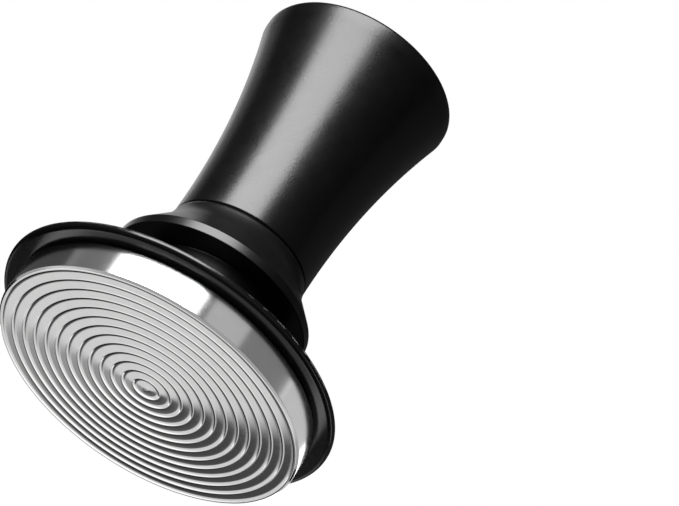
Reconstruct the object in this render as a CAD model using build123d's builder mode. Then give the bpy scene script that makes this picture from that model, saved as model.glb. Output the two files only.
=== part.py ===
from build123d import *
import os

# Spring-loaded, self-levelling espresso tamper for a 58 mm basket.
# Millimetres, +Z up. The origin is the centre of the rippled face that the tamper stands on,
# and every round piece shares the Z axis. "Low" and "high" in a name are heights above that face.

# ---------------------------------------------------------------- driving dimensions
base_radius = 29.2            # outer radius of the steel base, a clearance fit in a 58 mm basket
base_height = 6.4
plate_radius = 32.28          # levelling plate, which rests on the basket's rim
collar_radius = 19.2          # lip of the collar under the handle
waist_radius = 13.5           # handle at its narrowest
overall_height = 78.5
handle_travel = 3.5           # how far the handle moves down on its spring
plate_travel = 3.5            # how far the levelling plate moves up on its spring

# ---------------------------------------------------------------- fits
running_gap = 0.05            # radial clearance of a bush on its shaft
free_gap = 0.3                # space left between pieces that only pass each other
stop_gap = 0.1                # space left at a stop that carries no load in this model
thread_gap = 0.03             # radial clearance of a plain cylinder that stands for a thread

# ---------------------------------------------------------------- steel base
ripple_count = 13
ripple_pitch = 2.16
first_crest = 2.65            # radius of the innermost crest's middle
crest_width = 0.1             # flat land on top of each ripple
ripple_depth = 0.2            # each hollow deepens outward, then a short step comes back down
step_width = 0.4
hollow_bow = 0.025            # how much deeper than a straight line the hollow is halfway out
nub_radius = 0.45             # small flat left in the middle of the face
face_radius = 28.8
face_bevel = 0.4
top_bevel = 0.6
base_thread_radius = 4.0
base_hole_floor = 2.4
gasket_radius = 7.9
gasket_thickness = 0.8

# ---------------------------------------------------------------- centre shaft
hub_radius = 8.0
hub_flat = 7.5                # distance from the axis to each flat that stops the plate turning
hub_high = 20.2
rod_radius = 5.0
rod_flat = 4.5                # distance from the axis to each flat that stops the handle turning
rod_high = 41.2
stud_low = 2.8
flat_high = 17.4              # where the hub's flats end, under the spring seat
small_bevel = 0.3

# ---------------------------------------------------------------- levelling plate
plate_low = 6.6
plate_thickness = 1.3
rim_low_fillet = 0.9          # the rim is rounder below than above
rim_high_fillet = 0.3
drum_radius = 12.7
drum_high = 17.0
pocket_inner_radius = 10.4
pocket_outer_radius = 11.9
pocket_floor = 8.6
inner_wall_high = 13.6
plate_bush_radius = 9.5
ring_seal_radius = 11.15      # centre line of the bumper ring under the plate
ring_seal_section = 0.6       # radius of its round section
ring_seal_drop = 0.15         # how far it stands below the plate

# ---------------------------------------------------------------- levelling spring and its seat
levelling_spring_radius = 11.15
levelling_wire_radius = 0.45
levelling_turns = 3.5
seat_washer_low = 17.6
seat_washer_radius = 11.6
seat_washer_thickness = 1.0
circlip_thickness = 1.0
circlip_inner_radius = 7.35
circlip_outer_radius = 9.6
circlip_gap_angle = 40
bumper_radius = 7.8
bumper_thickness = 1.0

# ---------------------------------------------------------------- collar
lip_low = 21.25               # the collar's lip is a short upright band
lip_high = 23.0
cone_top = (15.63, 27.5)      # a cone rises from the lip, and an arc blends it into the neck
neck_middle = (14.25, 29.85)
neck_radius = 13.6
neck_high = 32.1
shadow_gap_radius = 13.0      # groove that parts the collar from the handle
sleeve_low = 15.4             # thin sleeve below the lip, which hides the drum and its spring
sleeve_radius = 13.9
recess_radius = 13.1
recess_ceiling = 26.0
spigot_radius = 10.95
spigot_high = 38.4
collar_bore_radius = 7.0
o_ring_section = 0.55
o_ring_height = 34.0
bush_flange_radius = 9.5
bush_flange_thickness = 1.0

# ---------------------------------------------------------------- handle
handle_low = 32.5
flare_start = 35.0            # the flare is one long arc, tangent to the waist at this height
flare_arc_radius = 157.5
flare_end = 76.9
top_fillet = 0.7
top_dish_radius = 17.4
top_dish_depth = 0.5
handle_thread_depth = 6.4
bore_radius = 9.8
bore_ceiling = 72.4

# ---------------------------------------------------------------- piston and main spring
piston_low = 40.0
piston_radius = 9.4
piston_thickness = 3.0
screw_radius = 2.5
screw_head_radius = 4.25
screw_head_height = 3.0
screw_low = 31.4
socket_width = 4.0
socket_depth = 1.8
lock_washer_thickness = 0.8
lower_seat_inner_radius = 4.6
lower_seat_radius = 9.2
seat_thickness = 1.0
main_spring_radius = 7.0
main_wire_radius = 1.1
main_turns = 6.5
upper_seat_thickness = 1.5
upper_spigot_radius = 5.6
upper_spigot_height = 3.0

# ---------------------------------------------------------------- derived heights
piston_high = piston_low + piston_thickness
main_spring_low = piston_high + seat_thickness
main_spring_high = bore_ceiling - upper_seat_thickness
circlip_low = seat_washer_low + seat_washer_thickness
bumper_high = hub_high + bumper_thickness
guide_bush_low = recess_ceiling - bush_flange_thickness
return_bumper_high = piston_low - stop_gap

os.makedirs("parts", exist_ok=True)


def ring(inner_radius, outer_radius, low, high, bevel=0.0):
    """A flat ring round the Z axis, with both outer edges bevelled when a bevel is given."""
    with BuildPart() as flat_ring:
        with BuildSketch(Plane.XY.offset(low)):
            Circle(outer_radius)
            Circle(inner_radius, mode=Mode.SUBTRACT)
        extrude(amount=high - low)
        if bevel > 0:
            rims = flat_ring.edges().filter_by(GeomType.CIRCLE).group_by(SortBy.RADIUS)[-1]
            chamfer(rims, bevel)
    return flat_ring.part


def round_ring(centre_radius, section_radius, height):
    """A ring of round section, such as an O-ring."""
    with BuildPart() as o_ring:
        with BuildSketch(Plane.XZ):
            with Locations((centre_radius, height)):
                Circle(section_radius)
        revolve(axis=Axis.Z)
    return o_ring.part


def coil_spring(mean_radius, wire_radius, turns, low, high):
    """A compression spring whose two ends are ground flat at the given heights."""
    length = high - low
    with BuildPart() as coil:
        with BuildLine() as wire_line:
            Helix(pitch=length / turns, height=length, radius=mean_radius, center=(0, 0, low))
        with BuildSketch(wire_line.line ^ 0):
            Circle(wire_radius)
        sweep(is_frenet=True)
        split(bisect_by=Plane.XY.offset(low), keep=Keep.TOP)
        split(bisect_by=Plane.XY.offset(high), keep=Keep.BOTTOM)
    return coil.part


def two_flats(flat_distance, radius):
    """Sketch of a round bore or shaft with two parallel flats across X."""
    with BuildSketch() as outline:
        Circle(radius)
        Rectangle(2 * flat_distance, 2 * radius, mode=Mode.INTERSECT)
    return outline.sketch


# ================================================================ base body

# Steel puck. Its underside is a set of shallow rings, each a long hollow and a short step.
with BuildPart() as ripple_base:
    with BuildSketch(Plane.XZ):
        with BuildLine():
            hollow_start = nub_radius
            Line((0, 0), (hollow_start, 0))
            for number in range(ripple_count):
                crest_start = first_crest + number * ripple_pitch - crest_width / 2
                hollow_end = crest_start - step_width
                hollow_middle = (hollow_start + hollow_end) / 2
                ThreePointArc((hollow_start, 0), (hollow_middle, ripple_depth / 2 + hollow_bow),
                              (hollow_end, ripple_depth))
                Line((hollow_end, ripple_depth), (crest_start, 0))
                hollow_start = crest_start + crest_width
                if number < ripple_count - 1:
                    Line((crest_start, 0), (hollow_start, 0))
            Line((crest_start, 0), (face_radius, 0))
            Line((face_radius, 0), (base_radius, face_bevel))
            Line((base_radius, face_bevel), (base_radius, base_height))
            Line((base_radius, base_height), (0, base_height))
            Line((0, base_height), (0, 0))
        make_face()
    revolve(axis=Axis.Z)
    top_rim = ripple_base.edges().filter_by(GeomType.CIRCLE).group_by(Axis.Z)[-1]
    chamfer(top_rim, top_bevel)
    with Locations((0, 0, base_height)):
        CounterBoreHole(base_thread_radius, gasket_radius + thread_gap, gasket_thickness,
                        depth=base_height - base_hole_floor)
ripple_base.part.label = "ripple_base"
export_step(ripple_base.part, "parts/ripple_base.step")

# Nylon gasket in the base's counterbore. It keeps the shaft's thread from working loose.
with BuildPart() as base_gasket:
    add(ring(base_thread_radius, gasket_radius, base_height - gasket_thickness, base_height))
base_gasket.part.label = "base_gasket"
export_step(base_gasket.part, "parts/base_gasket.step")

# Centre shaft: threaded stud, thick hub that guides the plate, and rod that guides the handle.
with BuildPart() as centre_shaft:
    with BuildSketch(Plane.XY.offset(stud_low)):
        Circle(base_thread_radius - thread_gap)
    extrude(amount=base_height - stud_low)
    with BuildSketch(Plane.XY.offset(base_height)):
        add(two_flats(hub_flat, hub_radius))
    extrude(amount=flat_high - base_height)
    with BuildSketch(Plane.XY.offset(flat_high)):
        Circle(hub_radius)
    extrude(amount=hub_high - flat_high)
    hub_rim = centre_shaft.edges().filter_by(GeomType.CIRCLE).group_by(Axis.Z)[-1]
    chamfer(hub_rim, small_bevel)
    with BuildSketch(Plane.XY.offset(hub_high)):
        add(two_flats(rod_flat, rod_radius))
    extrude(amount=rod_high - hub_high)
    with BuildSketch(Plane.XY.offset(circlip_low)):
        Circle(hub_radius + small_bevel)
        Circle(circlip_inner_radius, mode=Mode.SUBTRACT)
    extrude(amount=circlip_thickness, mode=Mode.SUBTRACT)
    with Locations((0, 0, rod_high)):
        Hole(screw_radius, depth=rod_high - screw_low + small_bevel)
centre_shaft.part.label = "centre_shaft"
export_step(centre_shaft.part, "parts/centre_shaft.step")

# Washer that the levelling spring pushes up against.
with BuildPart() as spring_seat_washer:
    add(ring(hub_radius + thread_gap, seat_washer_radius, seat_washer_low, circlip_low,
             bevel=small_bevel))
spring_seat_washer.part.label = "spring_seat_washer"
export_step(spring_seat_washer.part, "parts/spring_seat_washer.step")

# Circlip in the hub's groove, open over a small angle, which holds that washer.
with BuildPart() as shaft_circlip:
    with BuildSketch(Plane.XY.offset(circlip_low)):
        Circle(circlip_outer_radius)
        Circle(circlip_inner_radius, mode=Mode.SUBTRACT)
        with BuildLine():
            reach = 2 * circlip_outer_radius
            left_edge = PolarLine((0, 0), reach, circlip_gap_angle / 2)
            right_edge = PolarLine((0, 0), reach, -circlip_gap_angle / 2)
            Line(left_edge @ 1, right_edge @ 1)
        make_face(mode=Mode.SUBTRACT)
    extrude(amount=circlip_thickness)
shaft_circlip.part.label = "shaft_circlip"
export_step(shaft_circlip.part, "parts/shaft_circlip.step")

# Rubber ring on the hub, which cushions the end of the handle's stroke.
with BuildPart() as stroke_bumper:
    add(ring(rod_radius + running_gap, bumper_radius, hub_high, bumper_high, bevel=small_bevel))
stroke_bumper.part.label = "stroke_bumper"
export_step(stroke_bumper.part, "parts/stroke_bumper.step")

# Piston disc on the rod's end. It carries the main spring and stops the handle coming off.
with BuildPart() as piston_disc:
    with BuildSketch(Plane.XY.offset(piston_low)):
        Circle(piston_radius)
    extrude(amount=piston_thickness)
    piston_rims = piston_disc.edges().filter_by(GeomType.CIRCLE)
    chamfer(piston_rims, small_bevel)
    with BuildSketch(Plane.XY.offset(piston_low)):
        Circle(rod_radius + thread_gap)
    extrude(amount=rod_high - piston_low, mode=Mode.SUBTRACT)
    with Locations((0, 0, piston_high)):
        Hole(screw_radius + small_bevel)
piston_disc.part.label = "piston_disc"
export_step(piston_disc.part, "parts/piston_disc.step")

# Lock washer under the screw's head.
with BuildPart() as lock_washer:
    add(ring(screw_radius + thread_gap, screw_head_radius, piston_high,
             piston_high + lock_washer_thickness))
lock_washer.part.label = "lock_washer"
export_step(lock_washer.part, "parts/lock_washer.step")

# Socket screw that clamps the piston disc to the rod.
screw_seat = piston_high + lock_washer_thickness
with BuildPart() as piston_screw:
    with BuildSketch(Plane.XY.offset(screw_low)):
        Circle(screw_radius - thread_gap)
    extrude(amount=screw_seat - screw_low)
    with BuildSketch(Plane.XY.offset(screw_seat)):
        Circle(screw_head_radius)
    extrude(amount=screw_head_height)
    head_rim = piston_screw.edges().filter_by(GeomType.CIRCLE).group_by(Axis.Z)[-1]
    chamfer(head_rim, small_bevel)
    with BuildSketch(Plane.XY.offset(screw_seat + screw_head_height)):
        RegularPolygon(socket_width / 2, 6, major_radius=False)
    extrude(amount=-socket_depth, mode=Mode.SUBTRACT)
piston_screw.part.label = "piston_screw"
export_step(piston_screw.part, "parts/piston_screw.step")

# Nylon ring under the main spring.
with BuildPart() as lower_spring_seat:
    add(ring(lower_seat_inner_radius, lower_seat_radius, piston_high, main_spring_low))
lower_spring_seat.part.label = "lower_spring_seat"
export_step(lower_spring_seat.part, "parts/lower_spring_seat.step")

# Main spring, which sets the tamping force.
with BuildPart() as main_spring:
    add(coil_spring(main_spring_radius, main_wire_radius, main_turns,
                    main_spring_low, main_spring_high))
main_spring.part.label = "main_spring"
export_step(main_spring.part, "parts/main_spring.step")

# Light spring that keeps the levelling plate down.
with BuildPart() as levelling_spring:
    add(coil_spring(levelling_spring_radius, levelling_wire_radius, levelling_turns,
                    pocket_floor, seat_washer_low))
levelling_spring.part.label = "levelling_spring"
export_step(levelling_spring.part, "parts/levelling_spring.step")

# ================================================================ levelling plate body

# Thin round plate with a central drum that holds the spring's pocket and the bush.
plate_high = plate_low + plate_thickness
seal_height = plate_low - ring_seal_drop + ring_seal_section
with BuildPart() as levelling_plate:
    with BuildSketch(Plane.XZ):
        with BuildLine():
            Polyline(
                (plate_bush_radius, plate_low), (plate_radius, plate_low),
                (plate_radius, plate_high), (drum_radius, plate_high),
                (drum_radius, drum_high), (pocket_outer_radius, drum_high),
                (pocket_outer_radius, pocket_floor), (pocket_inner_radius, pocket_floor),
                (pocket_inner_radius, inner_wall_high), (plate_bush_radius, inner_wall_high),
                close=True)
        make_face()
    revolve(axis=Axis.Z)
    for side, rounding in ((0, rim_low_fillet), (-1, rim_high_fillet)):
        rim_edges = levelling_plate.edges().filter_by(GeomType.CIRCLE).group_by(SortBy.RADIUS)[-1]
        fillet(rim_edges.sort_by(Axis.Z)[side], rounding)
    drum_rims = levelling_plate.edges().filter_by(GeomType.CIRCLE).group_by(Axis.Z)[-1]
    chamfer(drum_rims, small_bevel)
    with BuildSketch(Plane.XZ):
        with Locations((ring_seal_radius, seal_height)):
            Rectangle(2 * ring_seal_section, 2 * ring_seal_section)
    revolve(axis=Axis.Z, mode=Mode.SUBTRACT)
levelling_plate.part.label = "levelling_plate"
export_step(levelling_plate.part, "parts/levelling_plate.step")

# Acetal bush in the plate, with the hub's two flats, so the plate slides and doesn't turn.
with BuildPart() as plate_bush:
    with BuildSketch(Plane.XY.offset(plate_low)):
        Circle(plate_bush_radius)
        add(two_flats(hub_flat + running_gap, hub_radius + running_gap), mode=Mode.SUBTRACT)
    extrude(amount=inner_wall_high - plate_low)
plate_bush.part.label = "plate_bush"
export_step(plate_bush.part, "parts/plate_bush.step")

# Rubber ring in the plate's underside, which lands softly on the base.
with BuildPart() as plate_bumper_ring:
    add(round_ring(ring_seal_radius, ring_seal_section, seal_height))
plate_bumper_ring.part.label = "plate_bumper_ring"
export_step(plate_bumper_ring.part, "parts/plate_bumper_ring.step")

# ================================================================ handle body

# Turned handle: a straight waist that flares to the top, bored for the spring from below.
flare_rise = flare_end - flare_start
flare_radius = waist_radius + flare_arc_radius - (flare_arc_radius**2 - flare_rise**2) ** 0.5
half_rise = flare_rise / 2
flare_middle = waist_radius + flare_arc_radius - (flare_arc_radius**2 - half_rise**2) ** 0.5
dish_sphere_radius = (top_dish_radius**2 + top_dish_depth**2) / (2 * top_dish_depth)
with BuildPart() as handle_shell:
    with BuildSketch(Plane.XZ):
        with BuildLine():
            Line((0, handle_low), (waist_radius, handle_low))
            Line((waist_radius, handle_low), (waist_radius, flare_start))
            ThreePointArc((waist_radius, flare_start), (flare_middle, flare_start + half_rise),
                          (flare_radius, flare_end))
            Line((flare_radius, flare_end), (flare_radius, overall_height))
            Line((flare_radius, overall_height), (0, overall_height))
            Line((0, overall_height), (0, handle_low))
        make_face()
    revolve(axis=Axis.Z)
    with Locations((0, 0, overall_height - top_dish_depth + dish_sphere_radius)):
        Sphere(dish_sphere_radius, mode=Mode.SUBTRACT)
    with BuildSketch(Plane.XY.offset(handle_low)):
        Circle(spigot_radius + thread_gap)
    extrude(amount=handle_thread_depth, mode=Mode.SUBTRACT)
    with BuildSketch(Plane.XY.offset(handle_low)):
        Circle(bore_radius)
    extrude(amount=bore_ceiling - handle_low, mode=Mode.SUBTRACT)
    top_edges = handle_shell.edges().filter_by(GeomType.CIRCLE).group_by(Axis.Z)[-1]
    fillet(top_edges.sort_by(SortBy.RADIUS)[-1], top_fillet)
    foot_edges = handle_shell.edges().filter_by(GeomType.CIRCLE).group_by(Axis.Z)[0]
    chamfer(foot_edges.sort_by(SortBy.RADIUS)[-1], small_bevel)
handle_shell.part.label = "handle_shell"
export_step(handle_shell.part, "parts/handle_shell.step")

# Collar, screwed into the handle: a lip, a cone that blends into the neck, and a thin sleeve.
with BuildPart() as handle_collar:
    with BuildSketch(Plane.XZ):
        with BuildLine():
            Polyline(
                (recess_radius, sleeve_low), (sleeve_radius, sleeve_low), (sleeve_radius, lip_low),
                (collar_radius, lip_low), (collar_radius, lip_high), cone_top)
            ThreePointArc(cone_top, neck_middle, (neck_radius, neck_high))
            Polyline(
                (neck_radius, neck_high), (shadow_gap_radius, neck_high),
                (shadow_gap_radius, handle_low), (spigot_radius, handle_low),
                (spigot_radius, spigot_high), (collar_bore_radius, spigot_high),
                (collar_bore_radius, recess_ceiling), (recess_radius, recess_ceiling),
                (recess_radius, sleeve_low))
        make_face()
    revolve(axis=Axis.Z)
    sleeve_edges = handle_collar.edges().filter_by(GeomType.CIRCLE).group_by(Axis.Z)[0]
    chamfer(sleeve_edges, small_bevel)
    spigot_edges = handle_collar.edges().filter_by(GeomType.CIRCLE).group_by(Axis.Z)[-1]
    chamfer(spigot_edges.sort_by(SortBy.RADIUS)[-1], small_bevel)
    with BuildSketch(Plane.XZ):
        with Locations((spigot_radius, o_ring_height)):
            Rectangle(4 * o_ring_section, 2 * o_ring_section)
    revolve(axis=Axis.Z, mode=Mode.SUBTRACT)
handle_collar.part.label = "handle_collar"
export_step(handle_collar.part, "parts/handle_collar.step")

# O-ring in the spigot's groove, which keeps the collar from unscrewing.
with BuildPart() as collar_o_ring:
    add(round_ring(spigot_radius - o_ring_section, o_ring_section, o_ring_height))
collar_o_ring.part.label = "collar_o_ring"
export_step(collar_o_ring.part, "parts/collar_o_ring.step")

# Flanged acetal bush in the collar, with the rod's two flats, so the handle doesn't turn.
with BuildPart() as guide_bush:
    with BuildSketch(Plane.XY.offset(guide_bush_low)):
        Circle(bush_flange_radius)
    extrude(amount=bush_flange_thickness)
    with BuildSketch(Plane.XY.offset(recess_ceiling)):
        Circle(collar_bore_radius)
    extrude(amount=spigot_high - recess_ceiling)
    with BuildSketch(Plane.XY.offset(guide_bush_low)):
        add(two_flats(rod_flat + running_gap, rod_radius + running_gap))
    extrude(amount=spigot_high - guide_bush_low, mode=Mode.SUBTRACT)
guide_bush.part.label = "guide_bush"
export_step(guide_bush.part, "parts/guide_bush.step")

# Rubber ring on the collar's top, which quietens the handle's return against the piston disc.
with BuildPart() as return_bumper:
    add(ring(rod_radius + free_gap, piston_radius - free_gap, spigot_high, return_bumper_high,
             bevel=small_bevel))
return_bumper.part.label = "return_bumper"
export_step(return_bumper.part, "parts/return_bumper.step")

# Nylon seat at the top of the handle's bore, with a spigot that centres the main spring.
with BuildPart() as upper_spring_seat:
    with BuildSketch(Plane.XY.offset(main_spring_high)):
        Circle(bore_radius - free_gap)
    extrude(amount=upper_seat_thickness)
    with BuildSketch(Plane.XY.offset(main_spring_high)):
        Circle(upper_spigot_radius)
    extrude(amount=-upper_spigot_height)
    spigot_rim = upper_spring_seat.edges().filter_by(GeomType.CIRCLE).group_by(Axis.Z)[0]
    chamfer(spigot_rim, small_bevel)
upper_spring_seat.part.label = "upper_spring_seat"
export_step(upper_spring_seat.part, "parts/upper_spring_seat.step")

print(f"handle strokes down {handle_travel} mm and plate strokes up {plate_travel} mm")
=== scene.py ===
"""Spring-loaded, self-levelling espresso tamper: its looks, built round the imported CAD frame.

Everything is in metres with +Z up, as in the frame. Outlines are written in millimetres, as
(radius, height) round the Z axis, and MM turns them into metres. Azimuths of lights and of the
camera are measured round Z from -Y, and are positive towards +X.
"""

import math

import bmesh
import bpy
from mathutils import Matrix, Vector


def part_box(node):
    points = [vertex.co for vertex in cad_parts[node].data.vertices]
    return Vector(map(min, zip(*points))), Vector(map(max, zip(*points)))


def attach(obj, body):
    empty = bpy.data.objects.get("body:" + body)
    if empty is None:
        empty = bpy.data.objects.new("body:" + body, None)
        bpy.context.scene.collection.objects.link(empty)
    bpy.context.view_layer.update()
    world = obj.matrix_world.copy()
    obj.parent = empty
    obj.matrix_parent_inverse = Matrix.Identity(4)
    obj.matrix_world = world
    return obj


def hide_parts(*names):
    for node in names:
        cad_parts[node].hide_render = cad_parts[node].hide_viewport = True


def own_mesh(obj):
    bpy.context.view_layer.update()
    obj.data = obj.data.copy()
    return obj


MM = 0.001

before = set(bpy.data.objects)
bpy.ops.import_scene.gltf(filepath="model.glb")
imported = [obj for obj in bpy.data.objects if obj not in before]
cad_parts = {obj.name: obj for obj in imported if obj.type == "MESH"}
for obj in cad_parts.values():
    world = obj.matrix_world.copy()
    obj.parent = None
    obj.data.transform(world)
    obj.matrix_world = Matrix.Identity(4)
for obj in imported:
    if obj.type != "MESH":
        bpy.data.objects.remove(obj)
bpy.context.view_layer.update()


# ---------------------------------------------------------------- sizes read from the frame, mm
def radius_of(node):
    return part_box(node)[1].x / MM


def low_of(node):
    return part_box(node)[0].z / MM


def high_of(node):
    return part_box(node)[1].z / MM


BASE_RADIUS = radius_of("ripple_base")
BASE_HIGH = high_of("ripple_base")
PLATE_RADIUS = radius_of("levelling_plate")
PLATE_LOW = low_of("levelling_plate")
DRUM_HIGH = high_of("levelling_plate")
COLLAR_RADIUS = radius_of("handle_collar")
SLEEVE_LOW = low_of("handle_collar")
SPIGOT_HIGH = high_of("handle_collar")
HANDLE_LOW = low_of("handle_shell")
HANDLE_HIGH = high_of("handle_shell")

# ---------------------------------------------------------------- the CAD's other sizes, mm
RIPPLE_COUNT = 13
RIPPLE_PITCH = 2.16
FIRST_CREST = 2.65
CREST_WIDTH = 0.1
RIPPLE_DEPTH = 0.2
STEP_WIDTH = 0.4
HOLLOW_BOW = 0.025
NUB_RADIUS = 0.45
FACE_RADIUS = 28.8
FACE_BEVEL = 0.4
TOP_BEVEL = 0.6
GASKET_HOLE_RADIUS = 7.93
GASKET_HOLE_FLOOR = 5.6
THREAD_RADIUS = 4.0
THREAD_FLOOR = 2.4

PLATE_THICKNESS = 1.3
PLATE_RIM_LOW, PLATE_RIM_HIGH = 0.9, 0.3
DRUM_RADIUS = 12.7
POCKET_OUTER = 11.9
POCKET_INNER = 10.4
POCKET_FLOOR = 8.6
INNER_WALL_HIGH = 13.6
PLATE_BORE = 9.5
SEAL_GROOVE = (10.55, 11.75, 7.65)      # inner radius, outer radius, ceiling

LIP_LOW = 21.25
LIP_HIGH = 23.0
SLEEVE_RADIUS = 13.9
CONE_TOP = (15.63, 27.5)
NECK_MIDDLE = (14.25, 29.85)
NECK_TOP = (13.6, 32.1)
SHADOW_GAP_RADIUS = 13.0
SPIGOT_RADIUS = 10.95
COLLAR_BORE = 7.0
RECESS_RADIUS = 13.1
RECESS_CEILING = 26.0
O_RING_GROOVE = (9.85, 33.45, 34.55)    # radius, low, high

WAIST_RADIUS = 13.5
FLARE_START = 35.0
FLARE_END = 76.9
FLARE_ARC_RADIUS = 157.5
TOP_ROUNDING = 0.7
DISH_RADIUS = 17.4
DISH_DEPTH = 0.5
SOCKET_RADIUS = 10.98
SOCKET_CEILING = 38.9
HANDLE_BORE = 9.8
BORE_CEILING = 72.4

HANDLE_TRAVEL = 3.5
PLATE_TRAVEL = 3.5

# ---------------------------------------------------------------- details of the looks only, mm
LEAD_WIDTH = 0.09         # each hollow starts with a short, steeper lead-in
LEAD_RISE = 0.032
LEAD_ROUNDING = 0.03
ROOT_ROUNDING = 1.25      # rounds each hollow's deep end
CREST_ROUNDING = 0.06
FACE_INSET = 0.5          # the face's own steel stops this far inside its rim
FACE_DEPTH = 1.0          # and lies below this height
FINE_EDGE = 0.08          # rounding of hidden and machined corners
COLLAR_LIP_EDGE = 0.2
WIRE_END_RISE = 0.6       # how far a closed end coil climbs, as a share of the wire's radius
WIRE_GROUND = 0.2         # the wire's centre at its very end, as a share of its radius
CLOSED_TURNS = 0.75       # turns of wire in each closed end coil

# ---------------------------------------------------------------- mesh fineness
TURN_STEPS = 320          # facets round a lathe piece
SPRING_STEPS = 72         # rings per turn of a spring
WIRE_STEPS = 20           # facets round a spring's wire
CORNER_STEPS = 6          # facets across a rounded corner
HOLLOW_STEPS = 8          # facets across a ripple's hollow
ROOT_POINTS = 3           # points at its deep end that make way for the rounding
NECK_STEPS = 14
DISH_STEPS = 10
FLARE_STEPS = 28
SUPPORT = 0.05            # mm: an extra ring beside each rounded corner keeps the flats flat
ON_AXIS = 1e-6            # mm: a point nearer to the axis than this closes to one vertex

# ---------------------------------------------------------------- the stage, metres
FLOOR_REACH = 4.0
FLOOR_FADE_START, FLOOR_FADE_END = 0.25, 1.3      # the floor turns plain white between these
WORLD_GLOW = 0.012
LIGHT_DISTANCE = 1.2
LIGHT_AIM = Vector((0, 0, 0.03))

# The glowing sheet is level, below the object, and gets brighter and then fades with distance
# from its centre. Its dark wedge lies between two lines: a point on each, and the direction in
# which it gets dark. The wedge's own faint glow falls along X and fades along Y.
SHEET_HEIGHT = -0.5
SHEET_REACH = 3.0
SHEET_CENTRE = (0.0, 0.9, SHEET_HEIGHT)
SHEET_LEVELS, SHEET_RISE = (0.93, 1.7), (0.46, 0.66)
SHEET_FADE, SHEET_FADE_PLACE = (1.0, 0.3), (0.95, 1.15)
WEDGE_LEFT, WEDGE_LEFT_NORMAL = (0.026, 0.832), (0.79, 0.62)
WEDGE_RIGHT, WEDGE_RIGHT_NORMAL = (0.306, 0.889), (-0.94, 0.35)
WEDGE_SOFT = 0.04
WEDGE_LEVELS, WEDGE_LEVELS_PLACE = (0.42, 0.08), (-0.08, 0.15)
WEDGE_FADE, WEDGE_FADE_PLACE = (1.0, 0.1), (1.45, 1.9)

# ---------------------------------------------------------------- the camera, metres and degrees
CAMERA_DISTANCE = 0.5547
CAMERA_ELEVATION = -29.25
CAMERA_TARGET = Vector((0, 0, 0.4 * MM))
AIM_TURN, AIM_RISE, AIM_ROLL = -1.75, 33.10, 33.30
SENSOR_WIDTH, FOCAL_LENGTH = 36.0, 172.4          # mm
CLIP_START, CLIP_END = 0.01, 50.0


# ================================================================ outlines and meshes
def rounded(outline, closed):
    """Round an outline's corners. A corner is (radius, height, rounding), or has no rounding."""
    points = [(Vector(corner[:2]), corner[2] if len(corner) > 2 else 0.0) for corner in outline]
    made = []
    for index, (corner, rounding) in enumerate(points):
        at_end = not closed and index in (0, len(points) - 1)
        if rounding <= 0 or at_end:
            made.append(corner)
            continue
        before = points[index - 1][0] - corner
        after = points[(index + 1) % len(points)][0] - corner
        half_angle = before.angle(after) / 2
        reach = rounding / math.tan(half_angle)
        towards = (before.normalized() + after.normalized()).normalized()
        centre = corner + towards * rounding / math.sin(half_angle)
        start = corner + before.normalized() * reach
        end = corner + after.normalized() * reach
        sweep = (start - centre).angle_signed(end - centre)
        if before.length > reach + 2 * SUPPORT:
            made.append(start + before.normalized() * SUPPORT)
        for step in range(CORNER_STEPS + 1):
            turn = Matrix.Rotation(-sweep * step / CORNER_STEPS, 2)
            made.append(centre + turn @ (start - centre))
        if after.length > reach + 2 * SUPPORT:
            made.append(end + after.normalized() * SUPPORT)
    return made


def arc_through(start, middle, end, steps):
    """Points along the circle arc from start to end by way of middle, both ends included."""
    (ax, ay), (bx, by), (cx, cy) = start, middle, end
    double = 2 * (ax * (by - cy) + bx * (cy - ay) + cx * (ay - by))
    a2, b2, c2 = ax * ax + ay * ay, bx * bx + by * by, cx * cx + cy * cy
    centre = Vector((
        (a2 * (by - cy) + b2 * (cy - ay) + c2 * (ay - by)) / double,
        (a2 * (cx - bx) + b2 * (ax - cx) + c2 * (bx - ax)) / double,
    ))
    first, last = Vector(start) - centre, Vector(end) - centre
    sweep = first.angle_signed(last)
    turned = [Matrix.Rotation(-sweep * step / steps, 2) @ first for step in range(steps + 1)]
    return [tuple(centre + spoke) for spoke in turned]


def new_piece(name, mesh, body, slot, *nodes):
    """Put a mesh in the scene, on its body, in place of the CAD nodes that it stands for."""
    piece = bpy.data.objects.new(name, mesh)
    bpy.context.scene.collection.objects.link(piece)
    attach(piece, body)
    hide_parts(*nodes)
    return piece


def lathe(name, outline, closed=True, section_of=None):
    """Turn an outline round Z. section_of(radius, height) picks the material of each facet."""
    points = rounded(outline, closed)
    solid = bmesh.new()
    rings = []
    for radius, height in points:
        if radius < ON_AXIS:
            rings.append([solid.verts.new((0, 0, height * MM))])
            continue
        angles = [2 * math.pi * step / TURN_STEPS for step in range(TURN_STEPS)]
        rings.append([
            solid.verts.new((radius * MM * math.cos(a), radius * MM * math.sin(a), height * MM))
            for a in angles
        ])
    spans = len(rings) if closed else len(rings) - 1
    for index in range(spans):
        ring, following = rings[index], rings[(index + 1) % len(rings)]
        here, there = points[index], points[(index + 1) % len(points)]
        section = section_of(*((here + there) / 2)) if section_of else 0
        for step in range(TURN_STEPS):
            beside = (step + 1) % TURN_STEPS
            if len(ring) == 1:
                corners = (ring[0], following[step], following[beside])
            elif len(following) == 1:
                corners = (ring[beside], ring[step], following[0])
            else:
                corners = (ring[step], following[step], following[beside], ring[beside])
            solid.faces.new(corners).material_index = section
    bmesh.ops.recalc_face_normals(solid, faces=solid.faces)
    mesh = bpy.data.meshes.new(name)
    solid.to_mesh(mesh)
    solid.free()
    mesh.shade_smooth()
    return mesh


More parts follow.
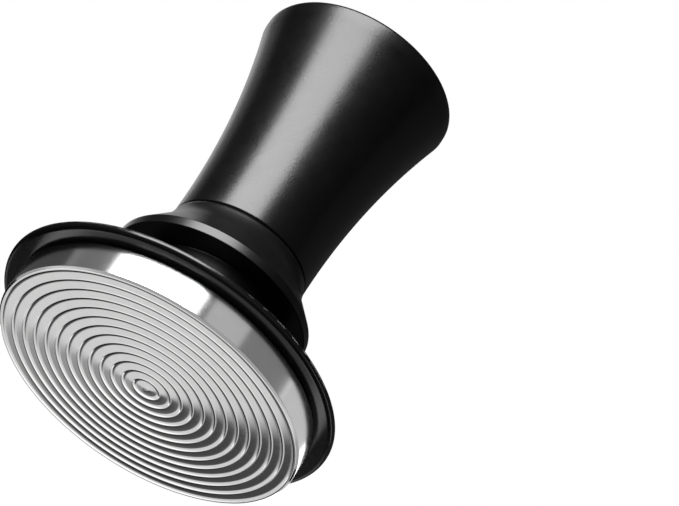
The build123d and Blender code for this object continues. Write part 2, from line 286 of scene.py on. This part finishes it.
def ripple_outline():
    """The base's underside from the axis outwards: long hollows that deepen, then short steps."""
    outline = [(0, 0)]
    start = NUB_RADIUS
    for number in range(RIPPLE_COUNT):
        crest = FIRST_CREST + number * RIPPLE_PITCH - CREST_WIDTH / 2
        end = crest - STEP_WIDTH
        lead = start + LEAD_WIDTH
        middle = ((lead + end) / 2, (LEAD_RISE + RIPPLE_DEPTH) / 2 + HOLLOW_BOW / 2)
        hollow = arc_through((lead, LEAD_RISE), middle, (end, RIPPLE_DEPTH), HOLLOW_STEPS)
        outline.append((start, 0, LEAD_ROUNDING))
        outline += hollow[:-ROOT_POINTS]
        outline.append((*hollow[-1], ROOT_ROUNDING))
        outline.append((crest, 0, CREST_ROUNDING))
        start = crest + CREST_WIDTH
    return outline


def base_mesh():
    edge = 0.12
    outline = ripple_outline() + [
        (FACE_RADIUS, 0, edge), (BASE_RADIUS, FACE_BEVEL, edge),
        (BASE_RADIUS, BASE_HIGH - TOP_BEVEL, edge), (BASE_RADIUS - TOP_BEVEL, BASE_HIGH, edge),
        (GASKET_HOLE_RADIUS, BASE_HIGH, edge), (GASKET_HOLE_RADIUS, GASKET_HOLE_FLOOR, edge),
        (THREAD_RADIUS, GASKET_HOLE_FLOOR, edge), (THREAD_RADIUS, THREAD_FLOOR, edge),
        (0, THREAD_FLOOR),
    ]

    def section_of(radius, height):
        """0, the face's steel, below mid-bevel and on all the ripples, and 1, the rim's, above."""
        rippled = radius < FACE_RADIUS - FACE_INSET and height < FACE_DEPTH
        return 0 if height < FACE_BEVEL / 2 or rippled else 1

    return lathe("ripple_base_turned", outline, closed=False, section_of=section_of)


def plate_mesh():
    edge, small = 0.2, FINE_EDGE
    plate_high = PLATE_LOW + PLATE_THICKNESS
    groove_inner, groove_outer, groove_ceiling = SEAL_GROOVE
    outline = [
        (PLATE_BORE, PLATE_LOW, small), (groove_inner, PLATE_LOW, small),
        (groove_inner, groove_ceiling, small), (groove_outer, groove_ceiling, small),
        (groove_outer, PLATE_LOW, small),
        (PLATE_RADIUS, PLATE_LOW, PLATE_RIM_LOW), (PLATE_RADIUS, plate_high, PLATE_RIM_HIGH),
        (DRUM_RADIUS, plate_high, edge), (DRUM_RADIUS, DRUM_HIGH, edge),
        (POCKET_OUTER, DRUM_HIGH, edge), (POCKET_OUTER, POCKET_FLOOR, edge),
        (POCKET_INNER, POCKET_FLOOR, edge), (POCKET_INNER, INNER_WALL_HIGH, small),
        (PLATE_BORE, INNER_WALL_HIGH, small),
    ]
    return lathe("levelling_plate_turned", outline)


def collar_mesh():
    edge, small = 0.14, FINE_EDGE
    groove_radius, groove_low, groove_high = O_RING_GROOVE
    neck = arc_through(CONE_TOP, NECK_MIDDLE, NECK_TOP, NECK_STEPS)
    outline = [
        (RECESS_RADIUS, RECESS_CEILING, small), (RECESS_RADIUS, SLEEVE_LOW, edge),
        (SLEEVE_RADIUS, SLEEVE_LOW, edge), (SLEEVE_RADIUS, LIP_LOW, edge),
        (COLLAR_RADIUS, LIP_LOW, COLLAR_LIP_EDGE), (COLLAR_RADIUS, LIP_HIGH, COLLAR_LIP_EDGE),
        *neck, (SHADOW_GAP_RADIUS, NECK_TOP[1], small),
        (SHADOW_GAP_RADIUS, HANDLE_LOW, small), (SPIGOT_RADIUS, HANDLE_LOW, small),
        (SPIGOT_RADIUS, groove_low, small), (groove_radius, groove_low, small),
        (groove_radius, groove_high, small), (SPIGOT_RADIUS, groove_high, small),
        (SPIGOT_RADIUS, SPIGOT_HIGH, edge), (COLLAR_BORE, SPIGOT_HIGH, small),
        (COLLAR_BORE, RECESS_CEILING, small),
    ]
    return lathe("handle_collar_turned", outline)


def handle_mesh():
    """The handle's outline from the dish's middle, down the flare and up the bore to the axis."""
    edge, small = 0.3, 0.1
    dish_middle = (DISH_RADIUS * math.sqrt(0.5), HANDLE_HIGH - DISH_DEPTH / 2)
    dish_rim = (DISH_RADIUS, HANDLE_HIGH)
    dish = arc_through((0, HANDLE_HIGH - DISH_DEPTH), dish_middle, dish_rim, DISH_STEPS)
    flare = []
    for step in range(FLARE_STEPS, -1, -1):
        rise = (FLARE_END - FLARE_START) * step / FLARE_STEPS
        bulge = FLARE_ARC_RADIUS - math.sqrt(FLARE_ARC_RADIUS**2 - rise**2)
        flare.append((WAIST_RADIUS + bulge, FLARE_START + rise))
    outline = [
        *dish[:-1], (*dish_rim, edge), (flare[0][0], HANDLE_HIGH, TOP_ROUNDING), *flare,
        (WAIST_RADIUS, HANDLE_LOW, edge), (SOCKET_RADIUS, HANDLE_LOW, small),
        (SOCKET_RADIUS, SOCKET_CEILING, small), (HANDLE_BORE, SOCKET_CEILING, small),
        (HANDLE_BORE, BORE_CEILING, small), (0, BORE_CEILING),
    ]
    return lathe("handle_shell_turned", outline, closed=False)


def spring_mesh(name, coil_radius, wire_radius, turns, low, high):
    """A compression spring with closed ends, ground flat at the two heights, all in mm."""
    steps = int(turns * SPRING_STEPS)
    closed_share = CLOSED_TURNS / turns
    ground, end_rise = WIRE_GROUND * wire_radius, WIRE_END_RISE * wire_radius
    free_rise = high - low - 2 * (end_rise + ground)
    rows = []
    for step in range(steps + 1):
        share = step / steps
        free = min(max((share - closed_share) / (1 - 2 * closed_share), 0), 1)
        first_coil = min(share / closed_share, 1)
        last_coil = 1 - min((1 - share) / closed_share, 1)
        height = low + ground + end_rise * (first_coil + last_coil) + free_rise * free
        turn = 2 * math.pi * turns * share
        row = []
        for facet in range(WIRE_STEPS):
            around = 2 * math.pi * facet / WIRE_STEPS
            radius = coil_radius + wire_radius * math.cos(around)
            z = min(max(height + wire_radius * math.sin(around), low), high)
            row.append((radius * MM * math.cos(turn), radius * MM * math.sin(turn), z * MM))
        rows.append(row)
    vertices = [vertex for row in rows for vertex in row]
    faces = []
    for step in range(steps):
        for facet in range(WIRE_STEPS):
            beside = (facet + 1) % WIRE_STEPS
            here, there = step * WIRE_STEPS, (step + 1) * WIRE_STEPS
            faces.append((here + facet, here + beside, there + beside, there + facet))
    faces.append(tuple(range(WIRE_STEPS - 1, -1, -1)))
    faces.append(tuple(steps * WIRE_STEPS + facet for facet in range(WIRE_STEPS)))
    mesh = bpy.data.meshes.new(name)
    mesh.from_pydata(vertices, [], faces)
    mesh.update()
    mesh.shade_smooth()
    return mesh


# ================================================================ materials
class Surface:
    """A Principled material with a few helpers that chain its texture nodes."""

    def __init__(self, name, **values):
        self.material = bpy.data.materials.new(name)
        self.material.use_nodes = True
        self.nodes = self.material.node_tree.nodes
        self.links = self.material.node_tree.links
        self.nodes.clear()
        self.shader = self.add("ShaderNodeBsdfPrincipled")
        output = self.add("ShaderNodeOutputMaterial")
        self.links.new(self.shader.outputs["BSDF"], output.inputs["Surface"])
        self.place = self.add("ShaderNodeTexCoord").outputs["Object"]
        self.normal = None
        for socket, value in values.items():
            self.shader.inputs[socket.replace("_", " ")].default_value = value

    def add(self, kind, inputs=None, **settings):
        node = self.nodes.new(kind)
        for name, value in settings.items():
            setattr(node, name, value)
        for name, value in (inputs or {}).items():
            if isinstance(value, bpy.types.NodeSocket):
                self.links.new(value, node.inputs[name])
            else:
                node.inputs[name].default_value = value
        return node

    def math(self, operation, first, second=0.0):
        return self.add("ShaderNodeMath", {0: first, 1: second}, operation=operation).outputs[0]

    def noise(self, size_mm, detail=3.0, rough=0.5, place=None, distortion=0.0):
        """Noise whose features are about size_mm across."""
        values = {"Vector": place or self.place, "Scale": 1 / (size_mm * MM), "Detail": detail,
                  "Roughness": rough, "Distortion": distortion}
        return self.add("ShaderNodeTexNoise", values).outputs["Fac"]

    def radius(self):
        """Distance from the Z axis, in metres."""
        flat = self.add("ShaderNodeVectorMath", {0: self.place, 1: (1, 1, 0)}, operation="MULTIPLY")
        length = self.add("ShaderNodeVectorMath", {0: flat.outputs[0]}, operation="LENGTH")
        return length.outputs["Value"]

    def height(self):
        return self.add("ShaderNodeSeparateXYZ", {0: self.place}).outputs["Z"]

    def turned(self, along, pitch_mm, detail=4.0, rough=0.7):
        """Lathe marks: noise that changes only with radius or height."""
        line = self.add("ShaderNodeCombineXYZ", {"X": along}).outputs[0]
        return self.noise(pitch_mm, detail, rough, place=line)

    def between(self, value, low, high, start=0.0, end=1.0):
        """Map a value from start..end to low..high."""
        ranges = {"Value": value, "From Min": start, "From Max": end, "To Min": low, "To Max": high}
        return self.add("ShaderNodeMapRange", ranges).outputs["Result"]

    def blend(self, factor, first, second):
        mix = self.add("ShaderNodeMix", data_type="RGBA")
        self.links.new(factor, mix.inputs["Factor"])
        colours = [socket for socket in mix.inputs if socket.type == "RGBA"]
        for socket, value in zip(colours, (first, second)):
            if isinstance(value, bpy.types.NodeSocket):
                self.links.new(value, socket)
            else:
                socket.default_value = (*value, 1)
        return [socket for socket in mix.outputs if socket.type == "RGBA"][0]

    def bump(self, height, depth_mm):
        values = {"Height": height, "Distance": depth_mm * MM, "Strength": 1.0}
        if self.normal:
            values["Normal"] = self.normal
        self.normal = self.add("ShaderNodeBump", values).outputs["Normal"]
        self.links.new(self.normal, self.shader.inputs["Normal"])

    def drive(self, socket, value):
        self.links.new(value, self.shader.inputs[socket])

    def show(self, shader_socket):
        """Send this shader to the material's output, in place of the Principled one."""
        output = next(node for node in self.nodes if node.type == "OUTPUT_MATERIAL")
        self.links.new(shader_socket, output.inputs["Surface"])


def around_axis(surface):
    """Point the shader's tangent round the Z axis, the way a lathe tool runs."""
    tangent = surface.add("ShaderNodeTangent", direction_type="RADIAL", axis="Z")
    surface.links.new(tangent.outputs["Tangent"], surface.shader.inputs["Tangent"])


def anodised(name, shade, roughness, grain_mm, grain_depth, turned_depth=0.0):
    """Black anodised aluminium: fine blasted grain, faint mottling and soft handling marks."""
    surface = Surface(name, Metallic=0.0, IOR=1.55)
    grain = surface.noise(grain_mm, detail=2.0)
    mottle = surface.noise(2.2, detail=3.0)
    smudge = surface.noise(14.0, detail=4.0, distortion=0.6)
    shade_mix = surface.math("MULTIPLY", grain, mottle)
    dark, light = (0.6 * shade, 0.6 * shade, 0.6 * shade), (shade, shade, 1.04 * shade)
    surface.drive("Base Color", surface.blend(shade_mix, dark, light))
    wander = surface.math("ADD", surface.between(mottle, -0.03, 0.03),
                          surface.between(smudge, -0.04, 0.05))
    surface.drive("Roughness", surface.math("ADD", wander, roughness))
    if turned_depth > 0:
        marks = surface.math("ADD", surface.radius(), surface.height())
        surface.bump(surface.turned(marks, 0.16), turned_depth)
    surface.bump(grain, grain_depth)
    return surface.material


def steel_wall():
    """The base's polished rim: near mirror, with fine marks left by the lathe."""
    surface = Surface("steel_rim", Metallic=1.0, Anisotropic=0.55, Anisotropic_Rotation=0.25)
    around_axis(surface)
    marks = surface.turned(surface.height(), 0.22, detail=5.0)
    smudge = surface.noise(6.0, detail=3.0)
    surface.drive("Base Color", surface.blend(smudge, (0.60, 0.60, 0.605), (0.68, 0.68, 0.675)))
    surface.drive("Roughness", surface.math("ADD", surface.between(marks, 0.12, 0.20),
                                            surface.between(smudge, -0.01, 0.03)))
    surface.bump(marks, 0.0016)
    return surface.material


def steel_face():
    """The rippled face: brighter turned steel, satin from the tool's fine feed marks."""
    surface = Surface("steel_face", Metallic=1.0, Anisotropic=0.2, Anisotropic_Rotation=0.25)
    around_axis(surface)
    marks = surface.turned(surface.radius(), 0.14, detail=4.0)
    mottle = surface.noise(1.6, detail=3.0)
    surface.drive("Base Color", surface.blend(mottle, (0.60, 0.60, 0.60), (0.68, 0.68, 0.675)))
    surface.drive("Roughness", surface.math("ADD", surface.between(marks, 0.06, 0.11),
                                            surface.between(mottle, -0.02, 0.03)))
    surface.bump(marks, 0.002)
    return surface.material


def plain_steel(name, shade, roughness, marks_mm):
    """Turned or plated steel on the parts inside."""
    surface = Surface(name, Metallic=1.0, Anisotropic=0.4, Anisotropic_Rotation=0.25)
    around_axis(surface)
    along = surface.math("ADD", surface.radius(), surface.height())
    marks = surface.turned(along, marks_mm)
    haze = surface.noise(3.0, detail=3.0)
    dark, light = (0.85 * shade, 0.85 * shade, 0.85 * shade), (shade, shade, 0.98 * shade)
    surface.drive("Base Color", surface.blend(haze, dark, light))
    surface.drive("Roughness", surface.math("ADD", surface.between(marks, -0.05, 0.06),
                                            surface.between(haze, roughness, roughness + 0.06)))
    surface.bump(marks, 0.002)
    return surface.material


def spring_steel():
    """Drawn wire with a light oil film and faint die marks."""
    surface = Surface("spring_steel_wire", Metallic=1.0)
    speck = surface.noise(0.35, detail=4.0)
    film = surface.noise(4.0, detail=2.0)
    surface.drive("Base Color", surface.blend(film, (0.30, 0.29, 0.28), (0.44, 0.43, 0.41)))
    surface.drive("Roughness", surface.between(speck, 0.24, 0.42))
    surface.bump(speck, 0.004)
    return surface.material


def moulded(name, dark, light, roughness, grain_mm, grain_depth):
    """A moulded or turned polymer, such as nylon, acetal or rubber."""
    surface = Surface(name, Metallic=0.0, IOR=1.5)
    grain = surface.noise(grain_mm, detail=3.0)
    cloud = surface.noise(5.0, detail=3.0)
    surface.drive("Base Color", surface.blend(cloud, dark, light))
    surface.drive("Roughness", surface.between(grain, roughness - 0.06, roughness + 0.08))
    surface.bump(grain, grain_depth)
    return surface.material


def floor_material():
    """Matt pale floor that fades to white far off. The view from below looks through it."""
    surface = Surface("pale_floor", Metallic=0.0, Roughness=0.85)
    cloud = surface.noise(60.0, detail=4.0)
    surface.drive("Base Color", surface.blend(cloud, (0.80, 0.80, 0.80), (0.84, 0.84, 0.84)))
    surface.bump(surface.noise(1.2, detail=2.0), 0.02)
    far = surface.add("ShaderNodeEmission", {"Color": (1, 1, 1, 1), "Strength": 1.0})
    fade = surface.between(surface.radius(), 0, 1, start=FLOOR_FADE_START, end=FLOOR_FADE_END)
    faded = surface.add("ShaderNodeMixShader", {"Fac": fade})
    surface.links.new(surface.shader.outputs["BSDF"], faded.inputs[1])
    surface.links.new(far.outputs["Emission"], faded.inputs[2])
    clear = surface.add("ShaderNodeBsdfTransparent")
    side = surface.add("ShaderNodeNewGeometry").outputs["Backfacing"]
    switch = surface.add("ShaderNodeMixShader", {"Fac": side})
    surface.links.new(faded.outputs["Shader"], switch.inputs[1])
    surface.links.new(clear.outputs["BSDF"], switch.inputs[2])
    surface.show(switch.outputs["Shader"])
    return surface.material


# ================================================================ the pieces
HANDLE_BLACK = anodised("handle_black", 0.0045, 0.27, grain_mm=0.30, grain_depth=0.016)
COLLAR_BLACK = anodised("collar_black", 0.0045, 0.30, grain_mm=0.12, grain_depth=0.003,
                        turned_depth=0.002)
PLATE_BLACK = anodised("plate_black", 0.006, 0.20, grain_mm=0.12, grain_depth=0.0015,
                       turned_depth=0.0007)

base = new_piece("base_rippled", base_mesh(), "base", "stainless_base", "ripple_base")
base.data.materials.append(steel_face())
base.data.materials.append(steel_wall())

plate = new_piece("plate_levelling", plate_mesh(), "levelling_plate", "plate_anodised",
                  "levelling_plate")
plate.data.materials.append(PLATE_BLACK)

collar = new_piece("collar_bell", collar_mesh(), "handle", "collar_anodised", "handle_collar")
collar.data.materials.append(COLLAR_BLACK)

handle = new_piece("handle_flared", handle_mesh(), "handle", "handle_anodised", "handle_shell")
handle.data.materials.append(HANDLE_BLACK)

# Each spring's fixed end is its low end (0) or its high end (1).
wire = spring_steel()
for name, node, joint, coil_radius, wire_radius, turns, travel, fixed_end in (
    ("spring_main", "main_spring", "handle_press", 7.0, 1.1, 6.5, HANDLE_TRAVEL, 0),
    ("spring_levelling", "levelling_spring", "plate_lift", 11.15, 0.45, 3.5, PLATE_TRAVEL, 1),
):
    ends = low_of(node), high_of(node)
    spring = new_piece(name, spring_mesh(name, coil_radius, wire_radius, turns, *ends), "base",
                       "spring_steel", node)
    spring.data.materials.append(wire)
    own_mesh(spring)

SHAFT_STEEL = plain_steel("shaft_steel", 0.62, 0.24, marks_mm=0.25)
ZINC = plain_steel("zinc_plated_steel", 0.56, 0.32, marks_mm=0.4)
NYLON = moulded("nylon_natural_white", (0.70, 0.68, 0.62), (0.78, 0.76, 0.70), 0.42, 0.3, 0.006)
ACETAL = moulded("acetal_black", (0.012, 0.012, 0.012), (0.022, 0.022, 0.023), 0.34, 0.25, 0.004)
RUBBER = moulded("rubber_black", (0.016, 0.016, 0.016), (0.028, 0.028, 0.027), 0.66, 0.2, 0.010)
INNER_MATERIALS = {
    "centre_shaft": SHAFT_STEEL, "piston_disc": SHAFT_STEEL,
    "spring_seat_washer": ZINC, "shaft_circlip": ZINC, "lock_washer": ZINC, "piston_screw": ZINC,
    "base_gasket": NYLON, "lower_spring_seat": NYLON, "upper_spring_seat": NYLON,
    "plate_bush": ACETAL, "guide_bush": ACETAL,
    "plate_bumper_ring": RUBBER, "collar_o_ring": RUBBER, "return_bumper": RUBBER,
    "stroke_bumper": RUBBER,
}
for node, material in INNER_MATERIALS.items():
    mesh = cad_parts[node].data
    mesh.materials.clear()
    mesh.materials.append(material)

# ================================================================ the floor
def floor_mesh():
    """A wide flat ring. The base covers its hole, through which light reaches the rippled face."""
    shape = bmesh.new()
    inner_ring, outer_ring = [], []
    for step in range(TURN_STEPS):
        angle = 2 * math.pi * step / TURN_STEPS
        spoke = Vector((math.cos(angle), math.sin(angle), 0))
        inner_ring.append(shape.verts.new(spoke * BASE_RADIUS * MM))
        outer_ring.append(shape.verts.new(spoke * FLOOR_REACH))
    for step in range(TURN_STEPS):
        beside = (step + 1) % TURN_STEPS
        shape.faces.new((
            inner_ring[step], outer_ring[step], outer_ring[beside], inner_ring[beside],
        ))
    mesh = bpy.data.meshes.new("floor")
    shape.to_mesh(mesh)
    shape.free()
    mesh.materials.append(floor_material())
    return mesh


floor = bpy.data.objects.new("floor", floor_mesh())
bpy.context.scene.collection.objects.link(floor)
floor.visible_diffuse = False
floor.visible_glossy = False
floor.visible_transmission = False
floor.visible_shadow = False


# ================================================================ the lights
def light_group(name, *pieces):
    """A set of pieces, for the lights that shine on these alone."""
    group = bpy.data.collections.new(name)
    for piece in pieces:
        group.objects.link(piece)
    return group


def softbox(name, azimuth, elevation, width, height, radiance, receivers, distance=LIGHT_DISTANCE):
    """An even rectangular light that faces the object. Width and height are degrees wide."""
    a, e = math.radians(azimuth), math.radians(elevation)
    towards = Vector((math.sin(a) * math.cos(e), -math.cos(a) * math.cos(e), math.sin(e)))
    lamp = bpy.data.lights.new(name, "AREA")
    lamp.shape = "RECTANGLE"
    lamp.size = 2 * distance * math.tan(math.radians(width / 2))
    lamp.size_y = 2 * distance * math.tan(math.radians(height / 2))
    lamp.energy = radiance * math.pi * lamp.size * lamp.size_y
    light = bpy.data.objects.new(name, lamp)
    bpy.context.scene.collection.objects.link(light)
    light.location = LIGHT_AIM + towards * distance
    light.rotation_mode = "QUATERNION"
    light.rotation_quaternion = (-towards).to_track_quat("-Z", "Y")
    light.visible_camera = False
    light.light_linking.receiver_collection = receivers


steel_only = light_group("steel_only", base)
black_only = light_group("black_only", handle, collar, plate)
handle_only = light_group("handle_only", handle, collar)
plate_only = light_group("plate_only", plate)
object_only = light_group("object_only", base, plate, collar, handle, *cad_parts.values())
floor_only = light_group("floor_only", floor)

softbox("key", -33, 22, 48, 52, 10.2, object_only)
softbox("key_floor", -33, 30, 48, 52, 3.2, floor_only)
softbox("overhead_floor", 0, 89, 70, 70, 1.9, floor_only, distance=1.5)
softbox("overhead_black", 0, 89, 50, 50, 0.04, black_only)
softbox("rim_back", -165, 45, 36, 34, 0.75, black_only)
softbox("rim_left", -146, 10, 46, 50, 0.28, handle_only)
softbox("fill_right", 130, 15, 100, 60, 0.05, black_only)
softbox("plate_under", 180, -30, 60, 40, 0.5, plate_only)
softbox("plate_front", 0, -40, 110, 40, 0.6, plate_only)
softbox("plate_right", 100, -35, 70, 36, 1.1, plate_only)
softbox("steel_key", -34, 29, 58, 44, 2.0, steel_only)
softbox("steel_left", -78, 29, 44, 44, 0.20, steel_only)
softbox("steel_far_left", -130, 29, 60, 44, 0.07, steel_only)
softbox("steel_right", 125, 25, 76, 50, 0.75, steel_only)
softbox("steel_front", 20, 29, 26, 40, 0.60, steel_only)
softbox("steel_front_right", 60, 29, 44, 40, 0.26, steel_only)
softbox("steel_back", 166, 24, 48, 30, 2.0, steel_only)


def sheet_material():
    """A glow that is bright but for its dark wedge."""
    surface = Surface("reflector")
    surface.nodes.remove(surface.shader)
    flat = surface.add("ShaderNodeSeparateXYZ", {0: surface.place})
    x, y = flat.outputs["X"], flat.outputs["Y"]

    def dark_side_of(through, normal):
        """0 on the bright side of a line and 1 on its dark side, with a soft edge."""
        first = surface.math("MULTIPLY", surface.math("SUBTRACT", x, through[0]), normal[0])
        second = surface.math("MULTIPLY", surface.math("SUBTRACT", y, through[1]), normal[1])
        return surface.between(surface.math("ADD", first, second), 0, 1, -WEDGE_SOFT, WEDGE_SOFT)

    wedge = surface.math("MULTIPLY", dark_side_of(WEDGE_LEFT, WEDGE_LEFT_NORMAL),
                         dark_side_of(WEDGE_RIGHT, WEDGE_RIGHT_NORMAL))
    faint = surface.math("MULTIPLY", surface.between(x, *WEDGE_LEVELS, *WEDGE_LEVELS_PLACE),
                         surface.between(y, *WEDGE_FADE, *WEDGE_FADE_PLACE))
    reach = surface.add("ShaderNodeVectorMath", {0: surface.place, 1: SHEET_CENTRE},
                        operation="DISTANCE").outputs["Value"]
    level = surface.math("MULTIPLY", surface.between(reach, *SHEET_LEVELS, *SHEET_RISE),
                         surface.between(reach, *SHEET_FADE, *SHEET_FADE_PLACE))
    bright = surface.math("MULTIPLY", surface.math("SUBTRACT", 1.0, wedge), level)
    glow = surface.math("ADD", bright, surface.math("MULTIPLY", wedge, faint))
    surface.show(surface.add("ShaderNodeEmission", {"Strength": glow}).outputs["Emission"])
    return surface.material


sheet_mesh = bpy.data.meshes.new("reflector")
sheet_corners = [(x * SHEET_REACH, y * SHEET_REACH, SHEET_HEIGHT)
                 for x, y in ((-1, -1), (-1, 1), (1, 1), (1, -1))]
sheet_mesh.from_pydata(sheet_corners, [], [(0, 3, 2, 1)])
sheet_mesh.materials.append(sheet_material())
sheet = bpy.data.objects.new("reflector", sheet_mesh)
bpy.context.scene.collection.objects.link(sheet)
sheet.visible_camera = False
sheet.visible_shadow = False
sheet.light_linking.receiver_collection = steel_only


def studio_world():
    """White behind everything the camera sees, and nearly dark as a light on the object."""
    world = bpy.data.worlds.new("studio")
    world.use_nodes = True
    sky = world.node_tree
    sky.nodes.clear()
    choice = sky.nodes.new("ShaderNodeMixShader")
    for socket, strength in ((1, WORLD_GLOW), (2, 1.0)):
        background = sky.nodes.new("ShaderNodeBackground")
        background.inputs["Color"].default_value = (1, 1, 1, 1)
        background.inputs["Strength"].default_value = strength
        sky.links.new(background.outputs[0], choice.inputs[socket])
    ray = sky.nodes.new("ShaderNodeLightPath")
    sky.links.new(ray.outputs["Is Camera Ray"], choice.inputs["Fac"])
    result = sky.nodes.new("ShaderNodeOutputWorld")
    sky.links.new(choice.outputs[0], result.inputs["Surface"])
    return world


bpy.context.scene.world = studio_world()
bpy.context.scene.view_settings.view_transform = "Standard"

# ================================================================ the camera
# It stands below the floor and looks up at the rippled face, rolled to one side.
elevation = math.radians(CAMERA_ELEVATION)
camera = bpy.data.objects.new("camera", bpy.data.cameras.new("camera"))
bpy.context.scene.collection.objects.link(camera)
camera.data.sensor_width = SENSOR_WIDTH
camera.data.lens = FOCAL_LENGTH
camera.data.clip_start, camera.data.clip_end = CLIP_START, CLIP_END
stand = CAMERA_TARGET + CAMERA_DISTANCE * Vector((0, -math.cos(elevation), math.sin(elevation)))
turning = (Matrix.Rotation(math.radians(AIM_TURN), 4, "Z")
           @ Matrix.Rotation(math.radians(90 + AIM_RISE), 4, "X")
           @ Matrix.Rotation(math.radians(AIM_ROLL), 4, "Z"))
camera.matrix_world = Matrix.Translation(stand) @ turning
bpy.context.scene.camera = camera
